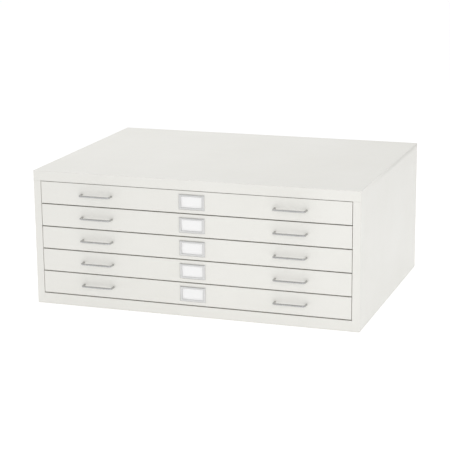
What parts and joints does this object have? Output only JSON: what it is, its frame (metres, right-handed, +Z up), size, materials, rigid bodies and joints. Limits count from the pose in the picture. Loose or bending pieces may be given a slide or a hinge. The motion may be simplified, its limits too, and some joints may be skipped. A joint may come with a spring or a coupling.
{
  "type": "flat file cabinet",
  "caption": "Low, wide sheet-steel cabinet with shallow full-width drawers on rollers, bow handles, card label holders and a paper hood and flap inside each drawer.",
  "frame": {"origin": "on the floor, under the centre of the closed cabinet's box, handles included", "axes": "+X to the right as seen from the front, -Y out of the drawers' fronts, +Z up"},
  "size_m": [1.0256, 0.771, 0.4191],
  "materials": {
    "enamel": "satin powder coat",
    "chrome": "satin chrome plate",
    "nickel": "satin nickel plate",
    "card": "matt paper card",
    "zinc": "zinc plate"
  },
  "bodies": {
    "cabinet": {"top_panel": "enamel", "left_side_panel": "enamel", "right_side_panel": "enamel", "back_panel": "enamel", "front_base_rail": "enamel", "corner_gussets": "enamel", "top_stiffeners": "enamel", "uprights": "enamel", "runners": "zinc", "front_roller_axles": "zinc"},
    "drawer_1": {"drawer_1_tray": "enamel", "drawer_1_front": "enamel", "drawer_1_rear_hood": "enamel", "drawer_1_handles": "chrome", "drawer_1_label_holder": "nickel", "drawer_1_label_card": "card", "drawer_1_hardware": "zinc"},
    "depressor_1": {"drawer_1_depressor": "enamel"},
    "rear_rollers_1": {"drawer_1_rear_rollers": "zinc"},
    "front_rollers_1": {"front_rollers_1": "zinc"},
    "drawer_2": {"drawer_2_tray": "enamel", "drawer_2_front": "enamel", "drawer_2_rear_hood": "enamel", "drawer_2_handles": "chrome", "drawer_2_label_holder": "nickel", "drawer_2_label_card": "card", "drawer_2_hardware": "zinc"},
    "depressor_2": {"drawer_2_depressor": "enamel"},
    "rear_rollers_2": {"drawer_2_rear_rollers": "zinc"},
    "front_rollers_2": {"front_rollers_2": "zinc"},
    "drawer_3": {"drawer_3_tray": "enamel", "drawer_3_front": "enamel", "drawer_3_rear_hood": "enamel", "drawer_3_handles": "chrome", "drawer_3_label_holder": "nickel", "drawer_3_label_card": "card", "drawer_3_hardware": "zinc"},
    "depressor_3": {"drawer_3_depressor": "enamel"},
    "rear_rollers_3": {"drawer_3_rear_rollers": "zinc"},
    "front_rollers_3": {"front_rollers_3": "zinc"},
    "drawer_4": {"drawer_4_tray": "enamel", "drawer_4_front": "enamel", "drawer_4_rear_hood": "enamel", "drawer_4_handles": "chrome", "drawer_4_label_holder": "nickel", "drawer_4_label_card": "card", "drawer_4_hardware": "zinc"},
    "depressor_4": {"drawer_4_depressor": "enamel"},
    "rear_rollers_4": {"drawer_4_rear_rollers": "zinc"},
    "front_rollers_4": {"front_rollers_4": "zinc"},
    "drawer_5": {"drawer_5_tray": "enamel", "drawer_5_front": "enamel", "drawer_5_rear_hood": "enamel", "drawer_5_handles": "chrome", "drawer_5_label_holder": "nickel", "drawer_5_label_card": "card", "drawer_5_hardware": "zinc"},
    "depressor_5": {"drawer_5_depressor": "enamel"},
    "rear_rollers_5": {"drawer_5_rear_rollers": "zinc"},
    "front_rollers_5": {"front_rollers_5": "zinc"}
  },
  "joints": [
    {"name": "drawer_1_slide", "type": "slide", "parent": "cabinet", "child": "drawer_1", "axis": [0, -1, 0], "range_m": [0, 0.58]},
    {"name": "depressor_1_lift", "type": "hinge", "parent": "drawer_1", "child": "depressor_1", "pos_m": [0, -0.33055, 0.33774], "axis": [1, 0, 0], "range_deg": [0, 110]},
    {"name": "front_rollers_1_spin", "type": "hinge", "parent": "cabinet", "child": "front_rollers_1", "pos_m": [0, -0.31555, 0.3651], "axis": [1, 0, 0], "range_deg": [0, 3400]},
    {"name": "rear_rollers_1_spin", "type": "hinge", "parent": "drawer_1", "child": "rear_rollers_1", "pos_m": [0, 0.33935, 0.3651], "axis": [1, 0, 0], "range_deg": [0, 3400]},
    {"name": "drawer_2_slide", "type": "slide", "parent": "cabinet", "child": "drawer_2", "axis": [0, -1, 0], "range_m": [0, 0.58]},
    {"name": "depressor_2_lift", "type": "hinge", "parent": "drawer_2", "child": "depressor_2", "pos_m": [0, -0.33055, 0.26718], "axis": [1, 0, 0], "range_deg": [0, 110]},
    {"name": "front_rollers_2_spin", "type": "hinge", "parent": "cabinet", "child": "front_rollers_2", "pos_m": [0, -0.31555, 0.29454], "axis": [1, 0, 0], "range_deg": [0, 3400]},
    {"name": "rear_rollers_2_spin", "type": "hinge", "parent": "drawer_2", "child": "rear_rollers_2", "pos_m": [0, 0.33935, 0.29454], "axis": [1, 0, 0], "range_deg": [0, 3400]},
    {"name": "drawer_3_slide", "type": "slide", "parent": "cabinet", "child": "drawer_3", "axis": [0, -1, 0], "range_m": [0, 0.58]},
    {"name": "depressor_3_lift", "type": "hinge", "parent": "drawer_3", "child": "depressor_3", "pos_m": [0, -0.33055, 0.19662], "axis": [1, 0, 0], "range_deg": [0, 110]},
    {"name": "front_rollers_3_spin", "type": "hinge", "parent": "cabinet", "child": "front_rollers_3", "pos_m": [0, -0.31555, 0.22398], "axis": [1, 0, 0], "range_deg": [0, 3400]},
    {"name": "rear_rollers_3_spin", "type": "hinge", "parent": "drawer_3", "child": "rear_rollers_3", "pos_m": [0, 0.33935, 0.22398], "axis": [1, 0, 0], "range_deg": [0, 3400]},
    {"name": "drawer_4_slide", "type": "slide", "parent": "cabinet", "child": "drawer_4", "axis": [0, -1, 0], "range_m": [0, 0.58]},
    {"name": "depressor_4_lift", "type": "hinge", "parent": "drawer_4", "child": "depressor_4", "pos_m": [0, -0.33055, 0.12606], "axis": [1, 0, 0], "range_deg": [0, 110]},
    {"name": "front_rollers_4_spin", "type": "hinge", "parent": "cabinet", "child": "front_rollers_4", "pos_m": [0, -0.31555, 0.15342], "axis": [1, 0, 0], "range_deg": [0, 3400]},
    {"name": "rear_rollers_4_spin", "type": "hinge", "parent": "drawer_4", "child": "rear_rollers_4", "pos_m": [0, 0.33935, 0.15342], "axis": [1, 0, 0], "range_deg": [0, 3400]},
    {"name": "drawer_5_slide", "type": "slide", "parent": "cabinet", "child": "drawer_5", "axis": [0, -1, 0], "range_m": [0, 0.58]},
    {"name": "depressor_5_lift", "type": "hinge", "parent": "drawer_5", "child": "depressor_5", "pos_m": [0, -0.33055, 0.0555], "axis": [1, 0, 0], "range_deg": [0, 110]},
    {"name": "front_rollers_5_spin", "type": "hinge", "parent": "cabinet", "child": "front_rollers_5", "pos_m": [0, -0.31555, 0.08286], "axis": [1, 0, 0], "range_deg": [0, 3400]},
    {"name": "rear_rollers_5_spin", "type": "hinge", "parent": "drawer_5", "child": "rear_rollers_5", "pos_m": [0, 0.33935, 0.08286], "axis": [1, 0, 0], "range_deg": [0, 3400]}
  ],
  "couplings": [
    {"joint": "front_rollers_1_spin", "follows": "drawer_1_slide", "rad_per_m": 100},
    {"joint": "rear_rollers_1_spin", "follows": "drawer_1_slide", "rad_per_m": 100},
    {"joint": "front_rollers_2_spin", "follows": "drawer_2_slide", "rad_per_m": 100},
    {"joint": "rear_rollers_2_spin", "follows": "drawer_2_slide", "rad_per_m": 100},
    {"joint": "front_rollers_3_spin", "follows": "drawer_3_slide", "rad_per_m": 100},
    {"joint": "rear_rollers_3_spin", "follows": "drawer_3_slide", "rad_per_m": 100},
    {"joint": "front_rollers_4_spin", "follows": "drawer_4_slide", "rad_per_m": 100},
    {"joint": "rear_rollers_4_spin", "follows": "drawer_4_slide", "rad_per_m": 100},
    {"joint": "front_rollers_5_spin", "follows": "drawer_5_slide", "rad_per_m": 100},
    {"joint": "rear_rollers_5_spin", "follows": "drawer_5_slide", "rad_per_m": 100}
  ]
}
